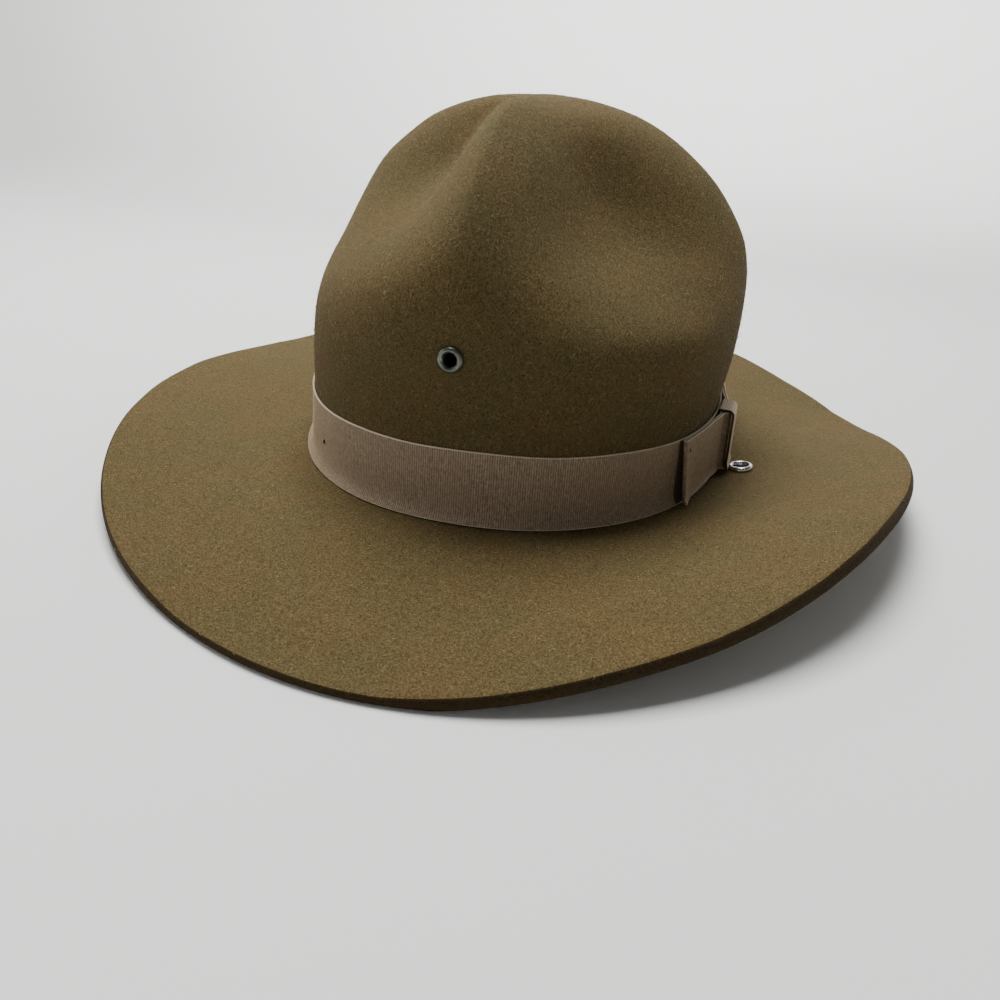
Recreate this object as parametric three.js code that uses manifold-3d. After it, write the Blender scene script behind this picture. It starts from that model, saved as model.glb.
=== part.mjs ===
import * as THREE from "three";
import { mergeVertices } from "three/addons/utils/BufferGeometryUtils.js";
import Module from "manifold-3d";

// A felt campaign hat: a tall crown pinched by four dents, a wide brim that lies on the floor,
// a ribbon band with a flat bow on the wearer's left, and rolled metal eyelets.
// Millimetres. The front faces -Y, the wearer's left is +X and +Z is up.
// The floor under the brim is Z = 0, and the origin is under the middle of the brim's outline.

// Crown, outside the felt, measured at the break where the brim starts
const CROWN_HALF_LENGTH = 101.4;
const CROWN_HALF_WIDTH = 82.9;
const CROWN_HEIGHT = 128;
const OVAL_POWER = 2.1; // 2 is an ellipse, more is squarer
const BREAK_RADIUS = 2;
const FELT_WALL = 3;

// Brim
const BRIM_WIDTH = 78;
const BRIM_RISE = 20;
const BRIM_BEND = 1.3; // 1 is a straight slope from break to edge, more keeps the inner part flatter
const BREAK_WAVE = 2; // how far the break line itself rises and falls
const REST_FLAT = 1.2; // how far the felt settles where it lies on the floor

// Ribbon: band, bow and keeper
const RIBBON_HEIGHT = 25;
const RIBBON_WALL = 1;
const RIBBON_LIFT = 0.5;
const FIT_GAP = 0.3; // clearance between neighbouring pieces
const BOW_ANGLE = 83;
const BOW_LENGTH = 93;
const BOW_HEIGHT = 23.4;
const BOW_RAISE = 0.9; // how far the bow's middle lies over the band's
const BOW_WALL = 1;
const BOW_FOLD = 1; // radius of the folded ends at the middle of the ribbon's wall
const BOW_PARTING = 1.5; // 1 opens the layers steadily towards the ends, more keeps them closed longer
const BOW_SETTLE_START = 0.18; // shares of the bow's half length between which it settles on the band
const BOW_SETTLE_END = 0.45;
const BOW_END_LIFT = 1.5; // how far its ends stand off again
const BOW_END_CURL = 6; // more keeps the lift closer to the ends
const KEEPER_WIDTH = 13;
const KEEPER_WALL = 1;
const KEEPER_SLACK = 0.9; // how loosely the keeper stands over the bow
const KEEPER_ROUND = 1.8; // radius of its front corners
const KEEPER_CORNER = 0.6;

// Eyelets. A roll is the height of the rolled rim.
const EYELET_WALL = 0.5;
const CROWN_EYELET_HOLE = 4.2;
const CROWN_EYELET_FLANGE = 8.4;
const CROWN_EYELET_ROLL = 1.2;
const CROWN_EYELET_HEIGHT = 54.8;
const BRIM_EYELET_HOLE = 5.6;
const BRIM_EYELET_FLANGE = 9.8;
const BRIM_EYELET_ROLL = 1.6;
const BRIM_EYELET_LEFT_ANGLE = 82.5;
const BRIM_EYELET_RIGHT_ANGLE = -94;
const BRIM_EYELET_OFFSET = 13.2;

// Finishes
const FELT_ROUGHNESS = 0.95;
const RIBBON_ROUGHNESS = 0.8;
const METAL_ROUGHNESS = 0.4;
const METAL_METALNESS = 0.9;

// Colours
const FELT_COLOUR = "#6b5a3c";
const RIBBON_COLOUR = "#57483a";
const BOW_COLOUR = "#5d5141";
const DARK_METAL_COLOUR = "#3f4742";
const BRIGHT_METAL_COLOUR = "#9b9c9b";

// Facets
const SEGMENTS = 60;
const BREAK_STEPS = 3;
const ROW_STEPS = 2;
const EYELET_SIDES = 18;
const ROLL_STEPS = 6;
const LOOP_STEPS = 12;
const FOLD_STEPS = 5;
const CORNER_STEPS = 3;
const SLOPE_STEP = 0.02; // small turn or share over which a direction is measured
const HALVINGS = 30; // how often the search for a height halves its range
const WELD_DISTANCE = 1e-4;

// Crown sections from the break to the top. height is a share of CROWN_HEIGHT; front and back are
// shares of CROWN_HALF_LENGTH; left and right are shares of CROWN_HALF_WIDTH; the three dents are
// the share of the radius that each one takes away at its deepest; ridge says how sharp the ridges
// between them are, with less for a sharper one.
const CROWN_SECTIONS = table(
  ["height", "front", "back", "left", "right", "dentLeft", "dentRight", "dentBack", "ridge"],
  [
    [0, 1, 1, 1, 1, 0, 0, 0, 1.8],
    [0.2, 0.996, 0.996, 0.995, 0.99, 0, 0, 0, 1.8],
    [0.355, 0.992, 0.99, 1.02, 0.98, 0, 0, 0, 1.8],
    [0.48, 0.988, 0.985, 1.02, 0.95, 0.01, 0.01, 0.01, 1.8],
    [0.58, 0.98, 0.975, 1.005, 0.895, 0.15, 0.06, 0.05, 1.8],
    [0.665, 0.955, 0.955, 0.965, 0.87, 0.31, 0.2, 0.15, 1.65],
    [0.742, 0.905, 0.92, 0.89, 0.82, 0.38, 0.36, 0.28, 1.5],
    [0.811, 0.835, 0.86, 0.8, 0.745, 0.39, 0.46, 0.39, 1.4],
    [0.873, 0.74, 0.77, 0.685, 0.64, 0.36, 0.49, 0.43, 1.35],
    [0.924, 0.635, 0.65, 0.56, 0.53, 0.31, 0.5, 0.45, 1.3],
    [0.962, 0.54, 0.51, 0.42, 0.39, 0.27, 0.49, 0.44, 1.3],
    [0.988, 0.425, 0.34, 0.24, 0.23, 0.25, 0.43, 0.38, 1.3],
    [0.998, 0.2, 0.12, 0.09, 0.09, 0.15, 0.25, 0.25, 1.3],
  ],
);

// Brim sections every 30 degrees from the front round by the wearer's left. width is a share of
// BRIM_WIDTH, rise is the edge's height as a share of BRIM_RISE, and wave is the height of the
// break line as a share of BREAK_WAVE.
const BRIM_SECTIONS = table(
  ["width", "rise", "wave"],
  [
    [1.035, -0.275, 1],
    [0.94, 0.305, 0.7],
    [0.905, 0.935, -0.45],
    [0.935, 0.52, -1.4],
    [0.925, -0.235, -1.25],
    [1, -0.1, -0.1],
    [1.085, 0.185, 1],
    [1.025, -0.11, 1.1],
    [1.005, -0.255, 0.25],
    [1.025, 0.065, -0.6],
    [0.97, 0.195, -0.6],
    [0.99, -0.12, 0.3],
  ],
);

// Where the brim's rings lie, as shares of the way from the break to the edge
const BRIM_RINGS = [1, 0.95, 0.84, 0.7, 0.54, 0.38, 0.22, 0.1, 0];

const UP = new THREE.Vector3(0, 0, 1);
const radians = THREE.MathUtils.degToRad;

// Rows of numbers under named columns
function table(columns, rows) {
  return rows.map((row) => Object.fromEntries(columns.map((column, index) => [column, row[index]])));
}

// Smooth curve through one named column of a table, at a place counted in rows
function along(rows, column, place, closed = false) {
  const last = rows.length - 1;
  const row = closed ? Math.floor(place) : Math.min(Math.floor(place), last - 1);
  const share = place - row;
  const value = (index) => {
    if (closed) {
      return rows[(index + rows.length) % rows.length][column];
    }
    return rows[THREE.MathUtils.clamp(index, 0, last)][column];
  };
  const [before, start, end, after] = [-1, 0, 1, 2].map((step) => value(row + step));
  const startSlope = (end - before) / 2;
  const endSlope = (after - start) / 2;
  const square = share * share;
  const cube = square * share;
  return (
    start * (2 * cube - 3 * square + 1) +
    startSlope * (cube - 2 * square + share) +
    end * (3 * square - 2 * cube) +
    endSlope * (cube - square)
  );
}

function brimValue(column, angle) {
  const turn = THREE.MathUtils.euclideanModulo(angle / (2 * Math.PI), 1);
  return along(BRIM_SECTIONS, column, turn * BRIM_SECTIONS.length, true);
}

function breakHeight(angle) {
  return BREAK_WAVE * brimValue("wave", angle);
}

// Point of an oval with its own half-size towards each side
function ovalPoint(angle, front, back, left, right) {
  const sine = Math.sin(angle);
  const cosine = Math.cos(angle);
  const reach = (Math.abs(sine) ** OVAL_POWER + Math.abs(cosine) ** OVAL_POWER) ** (-1 / OVAL_POWER);
  const across = sine > 0 ? left : right;
  const lengthwise = cosine > 0 ? front : back;
  return new THREE.Vector3(across * sine * reach, -lengthwise * cosine * reach, 0);
}

function breakOval(angle) {
  return ovalPoint(angle, CROWN_HALF_LENGTH, CROWN_HALF_LENGTH, CROWN_HALF_WIDTH, CROWN_HALF_WIDTH);
}

// Level direction pointing away from the crown, square to its oval
function outward(angle) {
  const tangent = breakOval(angle + SLOPE_STEP).sub(breakOval(angle - SLOPE_STEP));
  return new THREE.Vector3(tangent.y, -tangent.x, 0).normalize();
}

// Point outside the crown's felt at a place counted in rows of CROWN_SECTIONS
function crownPoint(angle, place) {
  const value = (column) => along(CROWN_SECTIONS, column, place);
  const dents = Math.sin(angle) > 0 ? "dentLeft" : "dentRight";
  const depth = value(Math.cos(angle) > 0 ? dents : "dentBack");
  const lobe = Math.abs(Math.sin(2 * angle)) ** value("ridge");
  const point = ovalPoint(
    angle,
    CROWN_HALF_LENGTH * value("front"),
    CROWN_HALF_LENGTH * value("back"),
    CROWN_HALF_WIDTH * value("left"),
    CROWN_HALF_WIDTH * value("right"),
  );
  point.multiplyScalar(1 - depth * lobe);
  point.z = THREE.MathUtils.lerp(breakHeight(angle), CROWN_HEIGHT, value("height"));
  return point;
}

// Point outside the crown's felt at a height over the break
function wallPoint(angle, height) {
  const wanted = height / (CROWN_HEIGHT - breakHeight(angle));
  let low = 0;
  let high = CROWN_SECTIONS.length - 1;
  for (let step = 0; step < HALVINGS; step += 1) {
    const middle = (low + high) / 2;
    if (along(CROWN_SECTIONS, "height", middle) < wanted) {
      low = middle;
    } else {
      high = middle;
    }
  }
  return crownPoint(angle, low);
}

// Point on the brim's upper side, at a share of the way from the break to the edge
function brimPoint(angle, share) {
  const width = BRIM_WIDTH * brimValue("width", angle);
  const point = breakOval(angle);
  point.addScaledVector(outward(angle), THREE.MathUtils.lerp(BREAK_RADIUS, width, share));
  const edge = BRIM_RISE * brimValue("rise", angle);
  point.z = THREE.MathUtils.lerp(breakHeight(angle), edge, share ** BRIM_BEND);
  return point;
}

// How far the rounded break stands out from the crown at a height over the brim
function breakFlare(height) {
  const drop = Math.max(BREAK_RADIUS - height, 0);
  return BREAK_RADIUS - Math.sqrt(BREAK_RADIUS ** 2 - drop ** 2);
}

function breakPoint(angle, share) {
  const turn = (share * Math.PI) / 2;
  const height = BREAK_RADIUS * (1 - Math.cos(turn));
  const point = wallPoint(angle, height);
  return point.addScaledVector(outward(angle), BREAK_RADIUS * (1 - Math.sin(turn)));
}

const angles = Array.from({ length: SEGMENTS }, (_, index) => (2 * Math.PI * index) / SEGMENTS);

// Rings of points over the outside of the felt, from the brim's edge to the crown's top
function feltRings() {
  const rings = BRIM_RINGS.map((share) => angles.map((angle) => brimPoint(angle, share)));
  for (let step = 1; step <= BREAK_STEPS; step += 1) {
    rings.push(angles.map((angle) => breakPoint(angle, step / BREAK_STEPS)));
  }
  for (let step = 1; step <= (CROWN_SECTIONS.length - 1) * ROW_STEPS; step += 1) {
    rings.push(angles.map((angle) => crownPoint(angle, step / ROW_STEPS)));
  }
  return rings;
}

// The same rings moved inwards by the wall, square to the surface
function liningRings(rings, tip) {
  return rings.map((ring, row) =>
    ring.map((point, index) => {
      const next = rings[row + 1] ? rings[row + 1][index] : tip;
      const previous = rings[Math.max(row - 1, 0)][index];
      const around = ring[(index + 1) % SEGMENTS].clone();
      around.sub(ring[(index + SEGMENTS - 1) % SEGMENTS]);
      const normal = around.cross(next.clone().sub(previous)).normalize();
      return point.clone().addScaledVector(normal, -FELT_WALL);
    }),
  );
}

function geometryOf(points, faces) {
  const geometry = new THREE.BufferGeometry().setFromPoints(points);
  geometry.setIndex(faces);
  return geometry;
}

function quad(faces, a, b, c, d) {
  faces.push(a, b, d, b, c, d);
}

// Crown and brim as one closed skin, open underneath for the head
function feltGeometry() {
  const outside = feltRings();
  const tip = new THREE.Vector3(0, 0, CROWN_HEIGHT);
  const inside = liningRings(outside, tip);
  const lowest = Math.min(...inside.flat().map((point) => point.z));
  const floor = lowest + REST_FLAT;
  inside.forEach((ring, row) =>
    ring.forEach((point, index) => {
      const lift = Math.max(floor - point.z, 0);
      point.z += lift;
      outside[row][index].z += lift;
    }),
  );
  const insideTip = tip.clone().addScaledVector(UP, -FELT_WALL);
  const points = [...outside.flat(), tip, ...inside.flat(), insideTip];
  const outsideTip = outside.length * SEGMENTS;
  const insideStart = outsideTip + 1;
  const faces = [];
  for (let index = 0; index < SEGMENTS; index += 1) {
    const next = (index + 1) % SEGMENTS;
    quad(faces, insideStart + index, insideStart + next, next, index);
    for (let row = 0; row < outside.length - 1; row += 1) {
      const low = row * SEGMENTS;
      const high = low + SEGMENTS;
      quad(faces, low + index, low + next, high + next, high + index);
      const lining = [low + next, low + index, high + index, high + next];
      quad(faces, ...lining.map((corner) => corner + insideStart));
    }
    const top = (outside.length - 1) * SEGMENTS;
    faces.push(top + index, top + next, outsideTip);
    faces.push(insideStart + top + next, insideStart + top + index, points.length - 1);
  }
  return { geometry: geometryOf(points, faces), floor };
}

// Closed loop of four-cornered sections
function loopGeometry(sections) {
  const faces = [];
  sections.forEach((_, index) => {
    const here = index * 4;
    const next = ((index + 1) % sections.length) * 4;
    for (let corner = 0; corner < 4; corner += 1) {
      const other = (corner + 1) % 4;
      quad(faces, here + corner, next + corner, next + other, here + other);
    }
  });
  return geometryOf(sections.flat(), faces);
}

// Point standing off the felt by a distance, at a share of the ribbon's height. The ribbon is
// straight across its height, and its foot clears the rounded break.
function ribbonPoint(angle, share, stand) {
  const foot = wallPoint(angle, RIBBON_LIFT).addScaledVector(outward(angle), breakFlare(RIBBON_LIFT));
  const top = wallPoint(angle, RIBBON_LIFT + RIBBON_HEIGHT);
  return foot.lerp(top, share).addScaledVector(outward(angle), stand);
}

function bandGeometry() {
  const sections = angles.map((angle) => [
    ribbonPoint(angle, 0, FIT_GAP + RIBBON_WALL),
    ribbonPoint(angle, 1, FIT_GAP + RIBBON_WALL),
    ribbonPoint(angle, 1, FIT_GAP),
    ribbonPoint(angle, 0, FIT_GAP),
  ]);
  return loopGeometry(sections);
}

// Distances from the felt outwards through band, keeper and bow
const bandFace = FIT_GAP + RIBBON_WALL;
const keeperBack = bandFace + FIT_GAP;
const bowBack = keeperBack + KEEPER_WALL + FIT_GAP;
const bowFront = bowBack + 2 * BOW_WALL + FIT_GAP;
const keeperFront = bowFront + FIT_GAP + KEEPER_SLACK + KEEPER_WALL;

// Turn round the crown that takes up a length of ribbon beside the keeper
function bowTurn(length) {
  const start = radians(BOW_ANGLE);
  return (length * SLOPE_STEP) / breakOval(start).distanceTo(breakOval(start + SLOPE_STEP));
}

// Share of the ribbon's height for a height over the bow's middle
function bowShare(height) {
  return 0.5 + (BOW_RAISE + height) / RIBBON_HEIGHT;
}

// Middle line of the bow's flattened loop: the distance along the band from the keeper, and the
// distance from the felt, going round the loop once. Beside the keeper the bow settles on the band.
function bowLine() {
  const half = BOW_LENGTH / 2 - BOW_FOLD;
  const closed = (bowFront - bowBack - BOW_WALL) / 2;
  const middle = (share) => {
    const settle = THREE.MathUtils.smoothstep(share, BOW_SETTLE_START, BOW_SETTLE_END);
    return (bowBack + bowFront) / 2 - settle * (bowBack - keeperBack) + BOW_END_LIFT * share ** BOW_END_CURL;
  };
  const line = [];
  for (const side of [1, -1]) {
    for (let step = 0; step < LOOP_STEPS; step += 1) {
      const distance = side * half * ((2 * step) / LOOP_STEPS - 1);
      const share = Math.abs(distance) / half;
      const spread = THREE.MathUtils.lerp(closed, BOW_FOLD, share ** BOW_PARTING);
      line.push(new THREE.Vector2(distance, middle(share) + side * spread));
    }
    for (let step = 0; step < FOLD_STEPS; step += 1) {
      const turn = (Math.PI * step) / FOLD_STEPS;
      const reach = BOW_FOLD * Math.sin(turn);
      line.push(new THREE.Vector2(side * (half + reach), middle(1) + side * BOW_FOLD * Math.cos(turn)));
    }
  }
  return line;
}

// Sides of a thin strip that follows a closed line in its plane: pairs of outer and inner points
function stripSides(line, wall) {
  return line.map((point, index) => {
    const next = line[(index + 1) % line.length];
    const previous = line[(index + line.length - 1) % line.length];
    const tangent = next.clone().sub(previous).normalize();
    const normal = new THREE.Vector2(-tangent.y, tangent.x).multiplyScalar(wall / 2);
    return { outer: point.clone().add(normal), inner: point.clone().sub(normal) };
  });
}

function bowGeometry() {
  const place = ({ x, y }, share) => ribbonPoint(radians(BOW_ANGLE) + bowTurn(x), share, y);
  const foot = bowShare(-BOW_HEIGHT / 2);
  const top = bowShare(BOW_HEIGHT / 2);
  const sections = stripSides(bowLine(), BOW_WALL).map(({ outer, inner }) => [
    place(outer, foot),
    place(outer, top),
    place(inner, top),
    place(inner, foot),
  ]);
  return loopGeometry(sections);
}

// Ring of ribbon round the bow's middle, in the upright plane square to the felt. Its front corners
// are rounder than those behind.
function keeperGeometry() {
  const halfHeight = BOW_HEIGHT / 2 + FIT_GAP + KEEPER_WALL / 2;
  const front = keeperFront - KEEPER_WALL / 2;
  const back = keeperBack + KEEPER_WALL / 2;
  const corners = [
    { x: halfHeight - KEEPER_ROUND, y: front - KEEPER_ROUND, radius: KEEPER_ROUND },
    { x: halfHeight - KEEPER_CORNER, y: back + KEEPER_CORNER, radius: KEEPER_CORNER },
    { x: KEEPER_CORNER - halfHeight, y: back + KEEPER_CORNER, radius: KEEPER_CORNER },
    { x: KEEPER_ROUND - halfHeight, y: front - KEEPER_ROUND, radius: KEEPER_ROUND },
  ];
  const line = corners.flatMap(({ x, y, radius }, index) =>
    Array.from({ length: CORNER_STEPS + 1 }, (_, step) => {
      const turn = (Math.PI / 2) * (index + step / CORNER_STEPS);
      return new THREE.Vector2(x + radius * Math.sin(turn), y + radius * Math.cos(turn));
    }),
  );
  const place = ({ x, y }, side) => {
    const angle = radians(BOW_ANGLE) + bowTurn((side * KEEPER_WIDTH) / 2);
    return ribbonPoint(angle, bowShare(x), y);
  };
  const sections = stripSides(line, KEEPER_WALL).map(({ outer, inner }) => [
    place(outer, 1),
    place(outer, -1),
    place(inner, -1),
    place(inner, 1),
  ]);
  return loopGeometry(sections);
}

// Rolled eyelet about the Z axis: a rim over the felt, a tube through it and a rim behind
function eyeletGeometry({ hole, flange, roll: rise }) {
  const bore = hole / 2;
  const tube = bore + EYELET_WALL;
  const rim = flange / 2;
  const front = FIT_GAP;
  const back = -FELT_WALL - FIT_GAP;
  const profile = [new THREE.Vector2(tube, back), new THREE.Vector2(tube, front)];
  const roll = (seat, side) => {
    for (let step = 0; step <= ROLL_STEPS; step += 1) {
      const turn = (Math.PI * step) / ROLL_STEPS;
      const radius = (rim + bore) / 2 + (side * (rim - bore) * Math.cos(turn)) / 2;
      profile.push(new THREE.Vector2(radius, seat + side * rise * Math.sin(turn)));
    }
  };
  roll(front, 1);
  roll(back, -1);
  profile.push(profile[0].clone());
  const geometry = new THREE.LatheGeometry(profile, EYELET_SIDES);
  return geometry.rotateX(Math.PI / 2);
}

// Joining and cutting of closed meshes
const wasm = await Module();
wasm.setup();

function solidOf(geometry, matrix = new THREE.Matrix4()) {
  const bare = geometry.clone().applyMatrix4(matrix);
  bare.deleteAttribute("normal");
  bare.deleteAttribute("uv");
  const merged = mergeVertices(bare, WELD_DISTANCE);
  return new wasm.Manifold(
    new wasm.Mesh({
      numProp: 3,
      vertProperties: merged.attributes.position.array,
      triVerts: new Uint32Array(merged.index.array),
    }),
  );
}

function geometryFrom(solid) {
  const mesh = solid.getMesh();
  const geometry = new THREE.BufferGeometry();
  geometry.setAttribute("position", new THREE.BufferAttribute(mesh.vertProperties, 3));
  geometry.setIndex(new THREE.BufferAttribute(mesh.triVerts, 1));
  geometry.computeVertexNormals();
  return geometry;
}

// Place of an eyelet: a point outside the felt and the direction square to it
function crownEyeletPlace() {
  const low = CROWN_EYELET_HEIGHT - CROWN_EYELET_HOLE / 2;
  const high = CROWN_EYELET_HEIGHT + CROWN_EYELET_HOLE / 2;
  const point = wallPoint(0, CROWN_EYELET_HEIGHT);
  const around = wallPoint(SLOPE_STEP, CROWN_EYELET_HEIGHT);
  around.sub(wallPoint(-SLOPE_STEP, CROWN_EYELET_HEIGHT));
  const upward = wallPoint(0, high).sub(wallPoint(0, low));
  return { point, normal: around.cross(upward).normalize() };
}

function brimEyeletPlace(angle) {
  const width = BRIM_WIDTH * brimValue("width", angle) - BREAK_RADIUS;
  const share = (BRIM_EYELET_OFFSET - BREAK_RADIUS) / width;
  const point = brimPoint(angle, share);
  const around = brimPoint(angle + SLOPE_STEP, share).sub(brimPoint(angle - SLOPE_STEP, share));
  const inwards = brimPoint(angle, share - SLOPE_STEP).sub(brimPoint(angle, share + SLOPE_STEP));
  return { point, normal: around.cross(inwards).normalize() };
}

const crownEyelet = {
  hole: CROWN_EYELET_HOLE,
  flange: CROWN_EYELET_FLANGE,
  roll: CROWN_EYELET_ROLL,
  colour: DARK_METAL_COLOUR,
};
const brimEyelet = {
  hole: BRIM_EYELET_HOLE,
  flange: BRIM_EYELET_FLANGE,
  roll: BRIM_EYELET_ROLL,
  colour: BRIGHT_METAL_COLOUR,
};
const eyelets = [
  { name: "crown_eyelet", ...crownEyelet, ...crownEyeletPlace() },
  { name: "brim_eyelet_left", ...brimEyelet, ...brimEyeletPlace(radians(BRIM_EYELET_LEFT_ANGLE)) },
  { name: "brim_eyelet_right", ...brimEyelet, ...brimEyeletPlace(radians(BRIM_EYELET_RIGHT_ANGLE)) },
];

function eyeletMatrix({ point, normal }) {
  const turn = new THREE.Quaternion().setFromUnitVectors(UP, normal);
  return new THREE.Matrix4().compose(point, turn, new THREE.Vector3(1, 1, 1));
}

// The felt with a hole cut for each eyelet's tube
function piercedFelt(skin) {
  let felt = solidOf(skin);
  for (const eyelet of eyelets) {
    const radius = eyelet.hole / 2 + EYELET_WALL + FIT_GAP;
    const length = eyelet.flange + 2 * FELT_WALL;
    const drill = new THREE.CylinderGeometry(radius, radius, length, EYELET_SIDES);
    drill.rotateX(Math.PI / 2);
    felt = felt.subtract(solidOf(drill, eyeletMatrix(eyelet)));
  }
  return geometryFrom(felt);
}

function addMesh(group, name, geometry, colour, roughness, metalness = 0) {
  geometry.computeVertexNormals();
  const material = new THREE.MeshStandardMaterial({ color: colour, roughness, metalness });
  const mesh = new THREE.Mesh(geometry, material);
  mesh.name = name;
  group.add(mesh);
  return mesh;
}

const { geometry: skin, floor } = feltGeometry();
const hat = new THREE.Group();
addMesh(hat, "felt_body", piercedFelt(skin), FELT_COLOUR, FELT_ROUGHNESS);
addMesh(hat, "hat_band", bandGeometry(), RIBBON_COLOUR, RIBBON_ROUGHNESS);
addMesh(hat, "bow_loop", bowGeometry(), BOW_COLOUR, RIBBON_ROUGHNESS);
addMesh(hat, "bow_keeper", keeperGeometry(), RIBBON_COLOUR, RIBBON_ROUGHNESS);
for (const eyelet of eyelets) {
  const geometry = eyeletGeometry(eyelet);
  const mesh = addMesh(hat, eyelet.name, geometry, eyelet.colour, METAL_ROUGHNESS, METAL_METALNESS);
  mesh.applyMatrix4(eyeletMatrix(eyelet));
}

// The brim's outline is centred over the origin and the lowest felt lies on the floor
const outline = new THREE.Box3().setFromBufferAttribute(skin.attributes.position);
const middle = outline.getCenter(new THREE.Vector3());
hat.position.set(-middle.x, -middle.y, -floor);

const root = new THREE.Group();
root.add(hat);

export default root;
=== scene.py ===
# %% [markdown]
# # A felt campaign hat
#
# A campaign hat starts as one cone of felt. It is steamed over a wooden block, pinched into four
# dents, and its brim is pressed nearly flat. Then a ribbon goes round the crown, with a flat bow on
# the wearer's left, and metal eyelets are set into the felt.
#
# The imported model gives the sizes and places. This lesson adds what it leaves out: smooth felt with
# a soft cut edge, ribs in the ribbon, rolled metal and loose fibres.

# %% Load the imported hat
import math

import bmesh
import bpy
import numpy as np
from mathutils import Matrix, Vector


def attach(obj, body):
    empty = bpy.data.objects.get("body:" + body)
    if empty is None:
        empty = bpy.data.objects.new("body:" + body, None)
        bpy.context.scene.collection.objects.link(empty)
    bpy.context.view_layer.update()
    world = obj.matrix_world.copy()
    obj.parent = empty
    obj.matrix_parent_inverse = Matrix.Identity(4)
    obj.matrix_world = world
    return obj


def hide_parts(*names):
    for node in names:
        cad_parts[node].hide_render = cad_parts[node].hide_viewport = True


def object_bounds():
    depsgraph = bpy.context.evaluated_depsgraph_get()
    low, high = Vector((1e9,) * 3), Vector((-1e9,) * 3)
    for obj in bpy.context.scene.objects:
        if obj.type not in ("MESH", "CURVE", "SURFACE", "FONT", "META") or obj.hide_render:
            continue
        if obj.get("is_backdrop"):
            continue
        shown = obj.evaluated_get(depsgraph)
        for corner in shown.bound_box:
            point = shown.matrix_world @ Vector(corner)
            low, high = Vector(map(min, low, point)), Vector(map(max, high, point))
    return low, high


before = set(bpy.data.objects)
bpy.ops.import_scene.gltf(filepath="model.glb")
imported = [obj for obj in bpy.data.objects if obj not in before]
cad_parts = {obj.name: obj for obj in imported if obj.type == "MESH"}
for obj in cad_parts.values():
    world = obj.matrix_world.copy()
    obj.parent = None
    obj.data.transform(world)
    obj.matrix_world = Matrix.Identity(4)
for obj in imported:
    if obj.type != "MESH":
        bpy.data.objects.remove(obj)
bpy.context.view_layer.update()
MM = 0.001
print("solids in the packed hat:", len(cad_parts))

# %% [markdown]
# ## The camera
#
# The camera stands a little above the brim, close to the hat and turned slightly. The lens is wide,
# so the near brim looks large. The three directions say which way the picture's right and top and the
# camera's back point.

# %% Make the camera
CAMERA_PLACE = Vector((77.04, -324.27, 142.3)) * MM
CAMERA_RIGHT = Vector((0.9607, 0.2719, 0.0563))
CAMERA_UP = Vector((-0.1765, 0.4414, 0.8798))
CAMERA_LENS = 28.8

camera = bpy.data.objects.new("camera", bpy.data.cameras.new("camera"))
bpy.context.scene.collection.objects.link(camera)
camera_back = CAMERA_RIGHT.cross(CAMERA_UP).normalized()
camera_up = camera_back.cross(CAMERA_RIGHT).normalized()
turned = Matrix((CAMERA_RIGHT.normalized(), camera_up, camera_back))
camera.matrix_world = Matrix.Translation(CAMERA_PLACE) @ turned.transposed().to_4x4()
camera.data.lens = CAMERA_LENS
camera.data.clip_start = 0.01
bpy.context.scene.camera = camera
print("camera height over the floor, mm:", round(camera.location.z / MM, 1))

# %% [markdown]
# ## Colours and nodes
#
# Artists pick colours as they look on a screen, which is sRGB, and the renderer counts light, which
# is linear. One function turns the one into the other. The others start a material, add a node to
# it with its settings, and join a result to the shader.

# %% Helpers for materials


def colour(hex_code):
    """Linear colour with full alpha from an sRGB hex code."""
    shares = [int(hex_code[start : start + 2], 16) / 255 for start in (1, 3, 5)]
    return (*(s / 12.92 if s <= 0.04045 else ((s + 0.055) / 1.055) ** 2.4 for s in shares), 1)


def add_node(material, kind, inputs=None, **settings):
    """A new node: inputs hold a value or the socket to join, by the input's name or number."""
    node = material.node_tree.nodes.new(kind)
    for name, value in settings.items():
        setattr(node, name, value)
    for name, value in (inputs or {}).items():
        if isinstance(value, bpy.types.NodeSocket):
            material.node_tree.links.new(value, node.inputs[name])
        else:
            node.inputs[name].default_value = value
    return node


def new_material(name):
    """A material with its shader, and the place on the hat in metres for the patterns."""
    material = bpy.data.materials.new(name)
    material.use_nodes = True
    shader = material.node_tree.nodes["Principled BSDF"]
    place = add_node(material, "ShaderNodeTexCoord").outputs["Object"]
    return material, shader, place


def join(material, output, shader, name):
    """Joins a node's output to the shader's input of that name."""
    material.node_tree.links.new(output, shader.inputs[name])


# %% [markdown]
# ## The paper sweep
#
# A photographer's paper sweep curves up behind the object, so that no horizon shows. It could be a
# plane bent by a modifier. Here an outline is turned into a round bowl, because the hat is looked
# at from every side, so the paper has to curve up all round.

# %% Make the paper sweep
SWEEP_MIDDLE = 0.001  # metres, radius of the small face in the middle
SWEEP_FLAT = 1.2
SWEEP_CURVE = 1.4
SWEEP_SIDES = 96
SWEEP_STEPS = 14

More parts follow.
